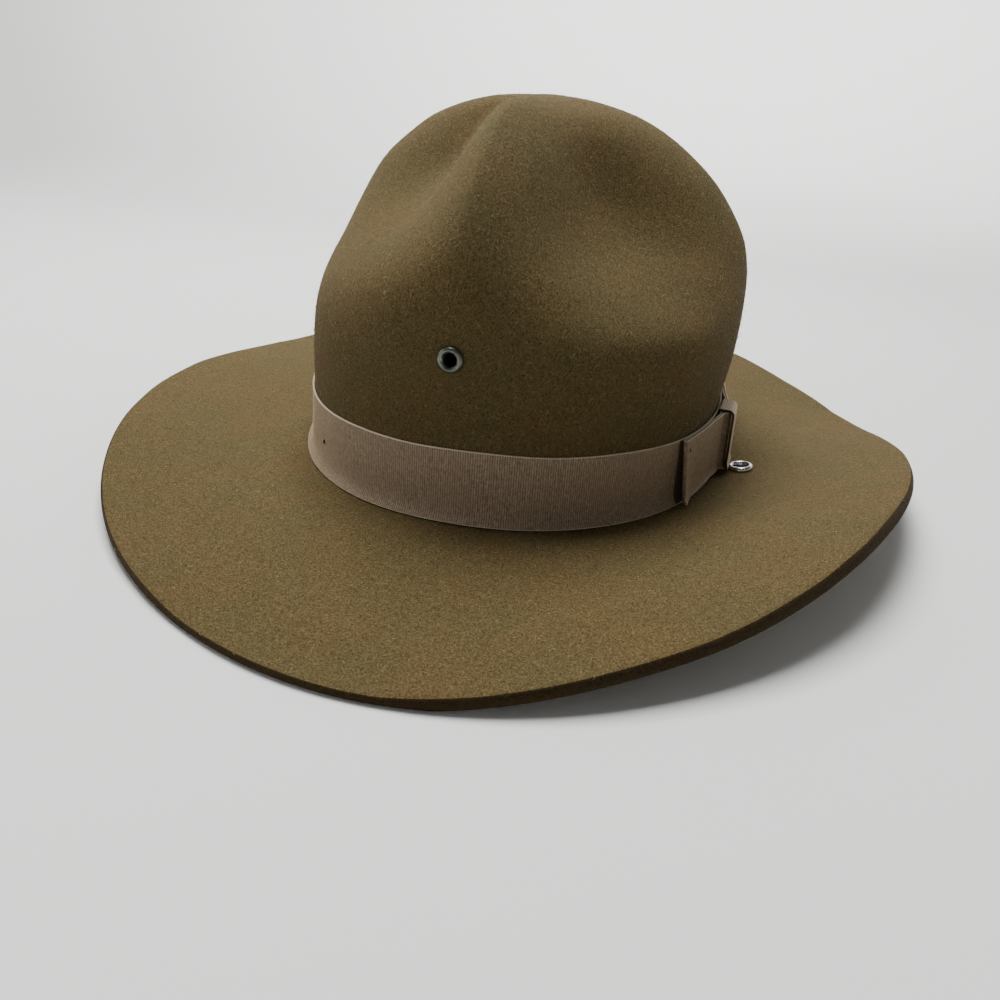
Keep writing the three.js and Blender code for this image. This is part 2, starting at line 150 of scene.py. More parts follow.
sweep_profile = [(SWEEP_MIDDLE, 0.0), (SWEEP_FLAT, 0.0)]
for step in range(1, SWEEP_STEPS + 1):
    turn = math.pi / 2 * step / SWEEP_STEPS
    out, up = math.sin(turn), 1 - math.cos(turn)
    sweep_profile.append((SWEEP_FLAT + SWEEP_CURVE * out, SWEEP_CURVE * up))
sweep_turns = [2 * math.pi * side / SWEEP_SIDES for side in range(SWEEP_SIDES)]
sweep_points = [
    (radius * math.cos(turn), radius * math.sin(turn), height)
    for radius, height in sweep_profile
    for turn in sweep_turns
]
sweep_faces = [
    (
        row * SWEEP_SIDES + side,
        row * SWEEP_SIDES + (side + 1) % SWEEP_SIDES,
        (row + 1) * SWEEP_SIDES + (side + 1) % SWEEP_SIDES,
        (row + 1) * SWEEP_SIDES + side,
    )
    for row in range(len(sweep_profile) - 1)
    for side in range(SWEEP_SIDES)
]
sweep_faces.append(tuple(range(SWEEP_SIDES)))
sweep_mesh = bpy.data.meshes.new("paper_sweep")
sweep_mesh.from_pydata(sweep_points, [], sweep_faces)
sweep_mesh.shade_smooth()
sweep = bpy.data.objects.new("paper_sweep", sweep_mesh)
bpy.context.scene.collection.objects.link(sweep)
sweep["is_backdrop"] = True

# Uncoated paper is matt: the floor shows soft shadows and no highlight
paper, paper_shader, _ = new_material("matt_white_background_paper")
paper_shader.inputs["Base Color"].default_value = colour("#e8e8e6")
paper_shader.inputs["Roughness"].default_value = 0.9
sweep_mesh.materials.append(paper)
print("paper sweep:", len(sweep_mesh.polygons), "faces")

# %% [markdown]
# ## The lamps
#
# A wide soft lamp hangs overhead, a little behind the hat. It lights the brim and leaves the upright
# front of the crown dark, as in the picture. A weak one on the left brings out the dents, and one
# lights only the paper behind. They are area lamps, because a wide lamp gives soft shadows.

# %% Hang the lamps
LAMPS = {
    # name: (place in metres, width, height, watts)
    "overhead": ((-0.2, 0.27, 1.12), 0.7, 0.6, 27.5),
    "left": ((-1.0, -0.25, 0.45), 0.5, 0.5, 2.2),
    "backdrop": ((0.0, 0.9, 1.5), 1.6, 0.5, 92.0),
}
LAMP_AIMS = {"overhead": (0.0, 0.0, 0.05), "left": (0.0, 0.0, 0.06), "backdrop": (0.0, 2.6, 1.0)}
for name, (place, width, height, watts) in LAMPS.items():
    lamp = bpy.data.lights.new(name, "AREA")
    lamp.shape, lamp.size, lamp.size_y, lamp.energy = "RECTANGLE", width, height, watts
    lamp_object = bpy.data.objects.new(name, lamp)
    lamp_object.location = place
    aim = Vector(LAMP_AIMS[name]) - Vector(place)
    lamp_object.rotation_euler = aim.to_track_quat("-Z", "Y").to_euler()
    bpy.context.scene.collection.objects.link(lamp_object)
print("lamps:", ", ".join(LAMPS))

# %% Fill the room with weak light
ROOM_LIGHT = 0.11

room = bpy.data.worlds.new("room")
bpy.context.scene.world = room
room.use_nodes = True
sky = room.node_tree.nodes["Background"]
sky.inputs["Color"].default_value = colour("#e9edf2")
sky.inputs["Strength"].default_value = ROOM_LIGHT
print("light from all round:", ROOM_LIGHT)

# %% [markdown]
# ## The sizes of the hat
#
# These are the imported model's own sizes in millimetres, apart from the ribbon's wall. The crown's
# table gives its outline at a row of heights, as shares of the crown's height, half length and half
# width, and how deep each dent is. The brim's table goes round the hat every 30 degrees. The hat
# could be traced by hand instead, but from tables every later piece can sit on the same surface.

# %% Name the sizes
CROWN_HALF_LENGTH, CROWN_HALF_WIDTH, CROWN_HEIGHT = 101.4, 82.9, 128.0
OVAL_POWER = 2.1
BREAK_RADIUS, BREAK_WAVE, FELT_WALL = 2.0, 2.0, 3.0
BRIM_WIDTH, BRIM_RISE, BRIM_BEND = 78.0, 20.0, 1.3
RIBBON_HEIGHT, RIBBON_LIFT, FIT_GAP = 25.0, 0.5, 0.3
RIBBON_WALL = 0.55  # as thin as a real ribbon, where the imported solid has 1 mm
HAT_PLACE = np.array((3.2265, -1.9898, 7.6482))  # the brim's inner edge from the point on the floor


def table(names, rows):
    """Columns of numbers by name."""
    return dict(zip(names.split(), np.array(rows, float).T))


CROWN = table(
    "height front back left right dent_left dent_right dent_back ridge",
    [
        (0, 1, 1, 1, 1, 0, 0, 0, 1.8),
        (0.2, 0.996, 0.996, 0.995, 0.99, 0, 0, 0, 1.8),
        (0.355, 0.992, 0.99, 1.02, 0.98, 0, 0, 0, 1.8),
        (0.48, 0.988, 0.985, 1.02, 0.95, 0.01, 0.01, 0.01, 1.8),
        (0.58, 0.98, 0.975, 1.005, 0.895, 0.15, 0.06, 0.05, 1.8),
        (0.665, 0.955, 0.955, 0.965, 0.87, 0.31, 0.2, 0.15, 1.65),
        (0.742, 0.905, 0.92, 0.89, 0.82, 0.38, 0.36, 0.28, 1.5),
        (0.811, 0.835, 0.86, 0.8, 0.745, 0.39, 0.46, 0.39, 1.4),
        (0.873, 0.74, 0.77, 0.685, 0.64, 0.36, 0.49, 0.43, 1.35),
        (0.924, 0.635, 0.65, 0.56, 0.53, 0.31, 0.5, 0.45, 1.3),
        (0.962, 0.54, 0.51, 0.42, 0.39, 0.27, 0.49, 0.44, 1.3),
        (0.988, 0.425, 0.34, 0.24, 0.23, 0.25, 0.43, 0.38, 1.3),
        (0.998, 0.2, 0.12, 0.09, 0.09, 0.15, 0.25, 0.25, 1.3),
    ],
)
BRIM = table(
    "width rise wave",
    [
        (1.035, -0.275, 1),
        (0.94, 0.305, 0.7),
        (0.905, 0.935, -0.45),
        (0.935, 0.52, -1.4),
        (0.925, -0.235, -1.25),
        (1, -0.1, -0.1),
        (1.085, 0.185, 1),
        (1.025, -0.11, 1.1),
        (1.005, -0.255, 0.25),
        (1.025, 0.065, -0.6),
        (0.97, 0.195, -0.6),
        (0.99, -0.12, 0.3),
    ],
)
print("crown rows:", len(CROWN["height"]), "brim rows:", len(BRIM["width"]))

# %% Run smooth curves through the tables


def along(column, place, closed=False):
    """Smooth curve through a column, at a place counted in rows."""
    count = len(column)
    row = np.floor(place).astype(int)
    if not closed:
        row = np.minimum(row, count - 2)
    share = place - row
    before, start, end, after = [
        column[(row + step) % count if closed else np.clip(row + step, 0, count - 1)]
        for step in (-1, 0, 1, 2)
    ]
    square, cube = share**2, share**3
    return (
        start * (2 * cube - 3 * square + 1)
        + (end - before) / 2 * (cube - 2 * square + share)
        + end * (3 * square - 2 * cube)
        + (after - start) / 2 * (cube - square)
    )


def brim_value(name, angle):
    """Value from the brim's table at a turn round the hat."""
    return along(BRIM[name], (angle / (2 * math.pi) % 1) * len(BRIM[name]), closed=True)


def break_height(angle):
    """Height of the break between brim and crown, which waves with the brim."""
    return BREAK_WAVE * brim_value("wave", angle)


front_width = BRIM_WIDTH * brim_value("width", np.array(0.0))
print("brim's width in front, mm:", round(float(front_width), 1))

# %% [markdown]
# ## Points on the felt
#
# The real felt is pulled over a wooden block, so its shape is smooth everywhere. It could be
# sculpted by hand. Here rules give a point for each turn round the crown, on the crown, the brim
# and the rounded break between them, because the ribbon and the eyelets need the same places.

# %% Points on the crown
SLOPE_STEP = 0.02  # how far apart two points are that give a slope
HALVINGS = 30  # steps of the search for a height
TOP_PLACE = len(CROWN["height"]) - 1.0


def points(x, y, z):
    """Points from their three coordinates, of which some may be the same for all."""
    return np.stack(np.broadcast_arrays(x, y, z), -1)


def oval_point(angle, front, back, left, right):
    """Point of an oval with its own half-size towards each side."""
    sine, cosine = np.sin(angle), np.cos(angle)
    reach = (np.abs(sine) ** OVAL_POWER + np.abs(cosine) ** OVAL_POWER) ** (-1 / OVAL_POWER)
    return points(
        np.where(sine > 0, left, right) * sine * reach,
        -np.where(cosine > 0, front, back) * cosine * reach,
        0.0,
    )


def break_oval(angle):
    """Point of the oval where brim and crown would meet without their rounded break."""
    halves = (CROWN_HALF_LENGTH, CROWN_HALF_LENGTH, CROWN_HALF_WIDTH, CROWN_HALF_WIDTH)
    return oval_point(angle, *halves)


def outward(angle):
    """Level direction away from the crown."""
    tangent = break_oval(angle + SLOPE_STEP) - break_oval(angle - SLOPE_STEP)
    away = points(tangent[..., 1], -tangent[..., 0], 0.0)
    return away / np.linalg.norm(away, axis=-1, keepdims=True)


def crown_point(angle, place):
    """Point outside the crown at a place counted in the table's rows."""
    value = {name: along(column, place) for name, column in CROWN.items()}
    front_dent = np.where(np.sin(angle) > 0, value["dent_left"], value["dent_right"])
    depth = np.where(np.cos(angle) > 0, front_dent, value["dent_back"])
    lobe = np.abs(np.sin(2 * angle)) ** value["ridge"]
    point = oval_point(
        angle,
        CROWN_HALF_LENGTH * value["front"],
        CROWN_HALF_LENGTH * value["back"],
        CROWN_HALF_WIDTH * value["left"],
        CROWN_HALF_WIDTH * value["right"],
    )
    point = point * (1 - depth * lobe)[..., None]
    low = break_height(angle)
    point[..., 2] = low + (CROWN_HEIGHT - low) * value["height"]
    return point


def wall_point(angle, height):
    """Point outside the crown at a height over the break."""
    wanted = height / (CROWN_HEIGHT - break_height(angle))
    low = np.zeros_like(wanted)
    high = low + TOP_PLACE
    for _ in range(HALVINGS):
        middle = (low + high) / 2
        below = along(CROWN["height"], middle) < wanted
        low, high = np.where(below, middle, low), np.where(below, high, middle)
    return crown_point(angle, low)


left_side = wall_point(np.array(math.pi / 2), 50.0)
print("crown's left side 50 mm up, mm:", left_side.round(1).tolist())

# %% Points on the brim


def brim_point(angle, share):
    """Point on top of the brim at a share of the way from the break to the edge."""
    away = BREAK_RADIUS + (BRIM_WIDTH * brim_value("width", angle) - BREAK_RADIUS) * share
    point = break_oval(angle) + outward(angle) * away[..., None]
    low = break_height(angle)
    point[..., 2] = low + (BRIM_RISE * brim_value("rise", angle) - low) * share**BRIM_BEND
    return point


def break_point(angle, share):
    """Point on the rounded break between brim and crown."""
    turn = share * math.pi / 2
    point = wall_point(angle, BREAK_RADIUS * (1 - np.cos(turn)) + 0 * angle)
    return point + outward(angle) * (BREAK_RADIUS * (1 - np.sin(turn)))


front = brim_point(np.array(0.0), np.array(1.0)) + HAT_PLACE
print("front edge of the brim, mm:", front.round(1).tolist())

# %% [markdown]
# ## One way to make every skin
#
# Most pieces of this hat are a grid of points: rings round the crown, or cross-sections along a
# ribbon. This function joins neighbouring points into faces. A ribbon's grid closes both ways like a
# bicycle tube, and the felt's closes round the crown and ends in a point on top, outside and inside.

# %% Turn a grid into a piece


def piece_from_grid(name, grid, poles=None):
    """A closed piece from rows of points; poles are the two points where its ends close."""
    rows, columns = grid.shape[:2]
    number = np.arange(rows * columns).reshape(rows, columns)
    beside = np.roll(number, -1, 1)
    if poles is None:
        upper = np.roll(number, -1, 0)
        upper_beside = np.roll(beside, -1, 0)
        quads = np.stack([number, beside, upper_beside, upper], -1).reshape(-1, 4)
        caps = []
        everything = grid.reshape(-1, 3)
    else:
        quads = np.stack([number[:-1], beside[:-1], beside[1:], number[1:]], -1).reshape(-1, 4)
        first, last = rows * columns, rows * columns + 1
        caps = [(first, int(b), int(a)) for a, b in zip(number[0], beside[0])]
        caps += [(int(a), int(b), last) for a, b in zip(number[-1], beside[-1])]
        everything = np.vstack([grid.reshape(-1, 3), poles])
    mesh = bpy.data.meshes.new(name)
    mesh.from_pydata(((everything + HAT_PLACE) * MM).tolist(), [], quads.tolist() + caps)
    mesh.shade_smooth()
    piece = bpy.data.objects.new(name, mesh)
    bpy.context.scene.collection.objects.link(piece)
    return piece


def mark_rows(piece, rows, columns):
    """Gives the faces that start at some rows of a piece's grid its second finish."""
    numbers = np.arange(len(piece.data.polygons)) // columns
    piece.data.polygons.foreach_set("material_index", np.isin(numbers, rows).astype(np.int32))


def face_outwards(piece):
    """Turns the faces so that they point out of the piece."""
    shape = bmesh.new()
    shape.from_mesh(piece.data)
    bmesh.ops.recalc_face_normals(shape, faces=shape.faces)
    if shape.calc_volume(signed=True) < 0:
        bmesh.ops.reverse_faces(shape, faces=shape.faces)
    volume = shape.calc_volume(signed=True)
    shape.to_mesh(piece.data)
    shape.free()
    return volume


# %% [markdown]
# ## The felt body
#
# Hat felt is wool or fur matted into a thick sheet. It bends in soft curves, and its cut edge is
# rounded. A cloth simulation could drape it, but a blocked hat is stiff, so the grid follows the
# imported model's own rules with many more points. The edge looks a little thicker than the wall, as
# a cut edge does where its fibres spread.

# %% Lay rings over the felt
ROUND = 360
BRIM_STEPS = 26
BREAK_STEPS = 6
CROWN_STEPS = 66
EDGE_CROWDING = 1.15  # over 1, the rings crowd towards the brim's edge
CROWN_START = 0.16  # where the crown's rings start, in rows of its table

angle = np.linspace(0, 2 * math.pi, ROUND, endpoint=False)


def felt_rings():
    """Rings over the outside of the felt, from the brim's edge to the crown's top."""
    shares = 1 - (np.arange(BRIM_STEPS) / BRIM_STEPS) ** EDGE_CROWDING
    rings = [brim_point(angle, np.full(ROUND, share)) for share in shares]
    rings += [break_point(angle, step / BREAK_STEPS) for step in range(BREAK_STEPS + 1)]
    places = CROWN_START + (TOP_PLACE - CROWN_START) * np.arange(CROWN_STEPS + 1) / CROWN_STEPS
    rings += [crown_point(angle, np.full(ROUND, place)) for place in places]
    return np.array(rings), np.concatenate([shares, np.zeros(len(rings) - BRIM_STEPS)])


def square_off(rings, tip):
    """Directions square to a skin of rings, pointing out."""
    around = np.roll(rings, -1, 1) - np.roll(rings, 1, 1)
    last = np.broadcast_to(tip, rings[:1].shape)
    upward = np.vstack([rings[1:], last]) - np.vstack([rings[:1], rings[:-1]])
    normal = np.cross(around, upward)
    return normal / np.maximum(np.linalg.norm(normal, axis=-1, keepdims=True), 1e-9)


outside, reach = felt_rings()
tip = np.array((0.0, 0.0, CROWN_HEIGHT))
away = square_off(outside, tip)
print("rings over the felt:", len(outside))

# %% Give the felt its wall and its cut edge
FELT_RIPPLE = 0.22  # height of the slow unevenness that steaming leaves
EDGE_SPREAD = 1.3  # how much thicker the cut edge looks
SPREAD_START = 0.6  # share of the way to the edge where it starts to thicken
EDGE_ROUNDING = 0.8  # how far the cut edge bulges out
EDGE_STEPS = 6

# Waves 70 to 145 mm long, each bent by others so that no pattern repeats
x, y, z = np.moveaxis(outside, -1, 0)
ripple = np.sin(x / 11 + 2 * np.sin(y / 17)) * np.sin(y / 13 + 1.7 * np.sin(z / 19 + x / 23))
inside = outside - away * FELT_WALL
floor_height = -HAT_PLACE[2]
# Where the brim's underside would reach into the floor, the felt is lifted onto it
lift = np.maximum(floor_height - inside[..., 2], 0)
outside[..., 2] += lift
inside[..., 2] += lift
outside += away * (FELT_RIPPLE * ripple)[..., None]
spread = EDGE_SPREAD * np.clip((reach - SPREAD_START) / (1 - SPREAD_START), 0, 1) ** 2
inside -= away * spread[:, None, None]
inside[..., 2] = np.maximum(inside[..., 2], floor_height)

edge_away = outward(angle)
edge = [
    (outside[0] + inside[0]) / 2
    + (outside[0] - inside[0]) / 2 * -math.cos(turn)
    + edge_away * EDGE_ROUNDING * math.sin(turn)
    for turn in np.linspace(0, math.pi, EDGE_STEPS + 1)[1:-1]
]
felt_grid = np.concatenate([inside[::-1], edge, outside])
felt_body = piece_from_grid("felt_crown_and_brim", felt_grid, [tip - (0, 0, FELT_WALL), tip])
felt_volume = face_outwards(felt_body)
edge_rows = len(inside) - 1 + np.arange(len(edge) + 1)
print("felt faces:", len(felt_body.data.polygons), "volume, cm3:", round(felt_volume * 1e6, 1))

# %% [markdown]
# ## Holes for the eyelets
#
# On the real hat a punch cuts a round hole, and the eyelet's tube is pushed through and rolled over.
# The holes could be left out of the grid, but then its lines would have to run round them. Instead,
# each is a cylinder taken away from the felt, square to its surface.

# %% Find the eyelets' places
EYELET_WALL = 0.5
EYELET_SIZES = {"crown": (4.2, 8.4, 1.2), "brim": (5.6, 9.8, 1.6)}  # hole, flange and roll
CROWN_EYELET_HEIGHT = 54.8
BRIM_EYELET_LEFT_ANGLE, BRIM_EYELET_RIGHT_ANGLE, BRIM_EYELET_OFFSET = 82.5, -94, 13.2


def crown_eyelet_place():
    """Middle of the crown's eyelet and the direction out of the felt there."""
    half = EYELET_SIZES["crown"][0] / 2
    low, high = CROWN_EYELET_HEIGHT - half, CROWN_EYELET_HEIGHT + half
    middle, step = np.array(0.0), np.array(SLOPE_STEP)
    around = wall_point(step, CROWN_EYELET_HEIGHT) - wall_point(-step, CROWN_EYELET_HEIGHT)
    normal = np.cross(around, wall_point(middle, high) - wall_point(middle, low))
    return wall_point(middle, CROWN_EYELET_HEIGHT), normal


def brim_eyelet_place(degrees):
    """Middle of a brim eyelet and the direction out of the felt there."""
    turn = np.array(math.radians(degrees))
    width = BRIM_WIDTH * brim_value("width", turn)
    share = (BRIM_EYELET_OFFSET - BREAK_RADIUS) / (width - BREAK_RADIUS)
    around = brim_point(turn + SLOPE_STEP, share) - brim_point(turn - SLOPE_STEP, share)
    inwards = brim_point(turn, share - SLOPE_STEP) - brim_point(turn, share + SLOPE_STEP)
    return brim_point(turn, share), np.cross(around, inwards)


EYELETS = {
    "crown_eyelet": crown_eyelet_place(),
    "brim_eyelet_left": brim_eyelet_place(BRIM_EYELET_LEFT_ANGLE),
    "brim_eyelet_right": brim_eyelet_place(BRIM_EYELET_RIGHT_ANGLE),
}
for name, (point, _) in EYELETS.items():
    print(name, "at", (point + HAT_PLACE).round(1).tolist())

# %% Punch the holes
PUNCH_LENGTH, PUNCH_SIDES = 14, 40

# The cut edge's rows get the darker finish: painted shade on the edge
mark_rows(felt_body, edge_rows, ROUND)
for name, (point, normal) in EYELETS.items():
    hole = EYELET_SIZES[name.split("_")[0]][0]
    radius = hole / 2 + EYELET_WALL + FIT_GAP
    bpy.ops.mesh.primitive_cylinder_add(
        vertices=PUNCH_SIDES,
        radius=radius * MM,
        depth=PUNCH_LENGTH * MM,
        location=(point + HAT_PLACE) * MM,
    )
    punch = bpy.context.object
    punch.rotation_euler = Vector(normal).to_track_quat("Z", "Y").to_euler()
    cut = felt_body.modifiers.new(name, "BOOLEAN")
    cut.object, cut.operation, cut.solver = punch, "DIFFERENCE", "EXACT"
    bpy.context.view_layer.objects.active = felt_body
    bpy.ops.object.modifier_apply(modifier=name)
    bpy.data.objects.remove(punch)
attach(felt_body, "root")
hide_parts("felt_body")
print("felt faces after punching:", len(felt_body.data.polygons))

# %% [markdown]
# ## The felt's finish
#
# Brushed wool felt reflects hardly any clear light. Its colour is a mix of dyed fibres, some lighter
# and some darker, so it looks mottled close up and cloudy from afar. A picture of felt could be
# wrapped round it, but patterns through space need no seam. Three layers give the look: clouds of
# two dyes, dark pits between the fibres, and light curled fibres over them. A fibre is about
# 0.03 mm thick, too fine to show, so pits and curls are drawn 0.5 to 1 mm wide.

# %% Name the felt's patterns
CLOUD_SIZE = 24 * MM  # how far one dye reaches
PIT_SIZE, CURL_SIZE = 0.7 * MM, 0.95 * MM
# Three layers of curls, each moved aside by some metres so that it differs, and a share of the size
CURL_LAYERS = ((0, 1.0), (3, 0.72), (7, 0.5))
FIBRE_SHARE = 0.6  # how much of the felt behind it a light fibre hides
NAP_DEPTH = 0.12 * MM  # how deep the pits look
print("felt patterns, mm:", [round(size / MM, 2) for size in (CLOUD_SIZE, PIT_SIZE, CURL_SIZE)])

# %% Mix the felt


def felt_finish(name, olive, brown, pit, fibre):
    """Matted wool: clouds of two dyes, dark pits between the fibres, and light curled fibres."""
    finish, shader, place = new_material(name)
    cloud = add_node(
        finish, "ShaderNodeTexNoise", {"Vector": place, "Scale": 1 / CLOUD_SIZE, "Detail": 4.0}
    )
    # Most values of a noise lie near 0.5, so a narrow range is spread out over both dyes
    hue = add_node(
        finish,
        "ShaderNodeMapRange",
        {"Value": cloud.outputs[0], "From Min": 0.36, "From Max": 0.64},
    )
    dyed = add_node(
        finish,
        "ShaderNodeMix",
        {"Factor": hue.outputs[0], 6: colour(olive), 7: colour(brown)},
        data_type="RGBA",
    )
    pits = add_node(
        finish,
        "ShaderNodeTexNoise",
        {"Vector": place, "Scale": 1 / PIT_SIZE, "Detail": 2.0, "Roughness": 0.7},
    )
    depth = add_node(
        finish,
        "ShaderNodeMapRange",
        {"Value": pits.outputs[0], "From Min": 0.4, "From Max": 0.64, "To Max": 0.85},
    )
    pitted = add_node(
        finish,
        "ShaderNodeMix",
        {"Factor": depth.outputs[0], 6: dyed.outputs[2], 7: colour(pit)},
        data_type="RGBA",
    )
    curls = []
    for shift, size in CURL_LAYERS:
        moved = add_node(
            finish, "ShaderNodeMapping", {"Vector": place, "Location": (shift, shift, 0)}
        )
        wave = add_node(
            finish,
            "ShaderNodeTexNoise",
            {
                "Vector": moved.outputs[0],
                "Scale": 1 / (CURL_SIZE * size),
                "Detail": 1.0,
                "Distortion": 0.8,
            },
        )
        # Where the noise passes its middle value, it leaves thin curved lines like fibres
        offset = add_node(
            finish, "ShaderNodeMath", {0: wave.outputs[0], 1: 0.5}, operation="SUBTRACT"
        )
        line = add_node(finish, "ShaderNodeMath", {0: offset.outputs[0]}, operation="ABSOLUTE")
        curls.append(line.outputs[0])
    nearest = add_node(finish, "ShaderNodeMath", {0: curls[0], 1: curls[1]}, operation="MINIMUM")
    nearest = add_node(
        finish, "ShaderNodeMath", {0: nearest.outputs[0], 1: curls[2]}, operation="MINIMUM"
    )
    fibres = add_node(
        finish,
        "ShaderNodeMapRange",
        {"Value": nearest.outputs[0], "From Max": 0.028, "To Min": 1.0, "To Max": 0.0},
    )
    strength = add_node(
        finish, "ShaderNodeMath", {0: fibres.outputs[0], 1: FIBRE_SHARE}, operation="MULTIPLY"
    )
    covered = add_node(
        finish,
        "ShaderNodeMix",
        {"Factor": strength.outputs[0], 6: pitted.outputs[2], 7: colour(fibre)},
        data_type="RGBA",
    )
    height = add_node(
        finish, "ShaderNodeMath", {0: fibres.outputs[0], 1: depth.outputs[0]}, operation="SUBTRACT"
    )
    nap = add_node(
        finish,
        "ShaderNodeBump",
        {"Height": height.outputs[0], "Strength": 0.5, "Distance": NAP_DEPTH},
    )
    join(finish, covered.outputs[2], shader, "Base Color")
    join(finish, nap.outputs[0], shader, "Normal")
    shader.inputs["Roughness"].default_value = 0.95
    shader.inputs["Specular IOR Level"].default_value = 0.12
    shader.inputs["Sheen Weight"].default_value = 0.05
    shader.inputs["Sheen Roughness"].default_value = 0.5
    shader.inputs["Sheen Tint"].default_value = colour("#cbb78e")
    return finish


# Brushed wool felt: quite matt, mottled close up, and a little lighter where seen at a slant
felt = felt_finish("brushed_wool_felt", "#4f4629", "#594729", "#302612", "#8a7a55")
# The cut edge: painted shade, for the shade it lies in as it faces down and out, draws a dark line
# round it
shaded_cut_felt = felt_finish("cut_felt_edge_painted_shade", "#2d230e", "#2d200f", "#1a1209", "#43351d")
felt_body.data.materials.append(felt)
felt_body.data.materials.append(shaded_cut_felt)
print("felt nodes:", len(felt.node_tree.nodes))

# %% [markdown]
# ## Raised fibres
#
# Brushing pulls some fibre ends out of the felt. They lie over it in short curls, and a few stand
# up, which softens the hat's outline. Blender's hair could grow them, but here each is a thin closed
# arch of the mesh that starts and ends in the felt, so that it stays a solid. A wool fibre is
# 0.03 mm thick, and these are 0.08 mm, so that they can be seen.

# %% Scatter the fibres
FIBRES, FIBRE_THICK = 15000, 0.08
FLYAWAY = 0.1  # share of the fibres that stand up
FIBRE_LENGTH = (1.0, 3.2)  # mm, shortest and longest
LYING_HEIGHT, STANDING_HEIGHT = (0.1, 0.4), (0.7, 1.6)  # mm, lowest and highest

random = np.random.default_rng(41)
here, beside, above = outside[:-1], np.roll(outside[:-1], -1, 1), outside[1:]
area = np.linalg.norm(np.cross(beside - here, above - here), axis=-1).ravel()
cell = random.choice(area.size, FIBRES, p=area / area.sum())
row, column = np.divmod(cell, ROUND)
sideways, upwards = random.random((2, FIBRES, 1))
root = here[row, column]
root = root + (beside[row, column] - root) * sideways + (above[row, column] - root) * upwards
normal = away[row, column]
lean = np.cross(normal, random.normal(size=(FIBRES, 3)))
lean /= np.linalg.norm(lean, axis=1, keepdims=True)
across = np.cross(normal, lean)
length = random.uniform(*FIBRE_LENGTH, (FIBRES, 1))
height = random.uniform(*LYING_HEIGHT, (FIBRES, 1))
flies = random.random((FIBRES, 1)) < FLYAWAY
height = np.where(flies, random.uniform(*STANDING_HEIGHT, (FIBRES, 1)), height)
bend = random.uniform(-0.5, 0.5, (FIBRES, 1)) * length
print("fibres that stand up:", int(flies.sum()))

# %% Build the fibres
spine = []
for share in (0.0, 0.33, 0.67, 1.0):
    arch = 4 * share * (1 - share)
    # Both ends lie 0.1 mm deep in the felt
    over_felt = normal * (height * arch * 1.1 - 0.1)
    spine.append(root + lean * length * (share - 0.5) + across * bend * arch + over_felt)
fibre_points = [spine[0]]
for middle in spine[1:3]:
    for turn in 2 * math.pi / 3 * np.arange(3):
        around = across * math.cos(turn) + normal * math.sin(turn)
        fibre_points.append(middle + around * FIBRE_THICK / 2)
fibre_points = np.stack([*fibre_points, spine[3]], 1).reshape(-1, 3)
# A fibre's 8 points are its two ends and two rings of three: its faces are two caps and the sides
pattern = [(0, 2, 1), (0, 3, 2), (0, 1, 3), (7, 4, 5), (7, 5, 6), (7, 6, 4)]
for low, high in ((1, 2), (2, 3), (3, 1)):
    pattern += [(low, high, high + 3), (low, high + 3, low + 3)]
fibre_faces = (np.array(pattern) + 8 * np.arange(FIBRES)[:, None, None]).reshape(-1, 3)
fibre_mesh = bpy.data.meshes.new("raised_wool_fibres")
fibre_mesh.from_pydata(((fibre_points + HAT_PLACE) * MM).tolist(), [], fibre_faces.tolist())
fibre_mesh.shade_smooth()
loose = bpy.data.objects.new("raised_wool_fibres", fibre_mesh)
bpy.context.scene.collection.objects.link(loose)
face_outwards(loose)
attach(loose, "root")
print("fibres:", FIBRES, "with", len(fibre_faces), "triangles")

# %% [markdown]
# ## The fibres' finish
#
# A single wool fibre is smooth and takes dye more or less well, so the raised ones look lighter than
# the felt and glint a little. One colour for each would need 15,000 values. Instead, a noise with
# spots 4 mm wide, as wide as a lock of wool, picks between two colours.

# %% Mix the fibres' colours
LOCK_SIZE = 4 * MM

# Undyed and dyed wool: lighter than the felt, with a faint gloss along each fibre
wool, wool_shader, wool_place = new_material("undyed_and_dyed_wool_fibre")
lock = add_node(
    wool, "ShaderNodeTexNoise", {"Vector": wool_place, "Scale": 1 / LOCK_SIZE, "Detail": 3.0}
)
lock_share = add_node(
    wool, "ShaderNodeMapRange", {"Value": lock.outputs[0], "From Min": 0.35, "From Max": 0.65}
)
wool_colour = add_node(
    wool,
    "ShaderNodeMix",
    {"Factor": lock_share.outputs[0], 6: colour("#81724e"), 7: colour("#a89974")},
    data_type="RGBA",
)
join(wool, wool_colour.outputs[2], wool_shader, "Base Color")
wool_shader.inputs["Roughness"].default_value = 0.8
wool_shader.inputs["Specular IOR Level"].default_value = 0.3
fibre_mesh.materials.append(wool)
print("wool nodes:", len(wool.node_tree.nodes))

# %% [markdown]
# ## The ribbon band
#
# Hat ribbon is grosgrain: thick weft threads make ribs straight across it, so they stand upright on
# the band. Ribs could be painted on as a bump, but then the ribbon's edge would stay flat, so they
# are real waves in the mesh. A real rib is about 0.65 mm wide, and these are 0.8 mm, so that they
# show. The two edges, where the weft turns back, are a little thicker.

# %% Points on the ribbon
FOOT_FLARE, FLARE_SHARE, FLARE_CURL = 1.9, 0.18, 1.8  # how its foot turns out over the brim


def break_flare(height):
    """How far the rounded break stands out at a height over the brim."""
    drop = max(BREAK_RADIUS - height, 0)
    return BREAK_RADIUS - math.sqrt(BREAK_RADIUS**2 - drop**2)


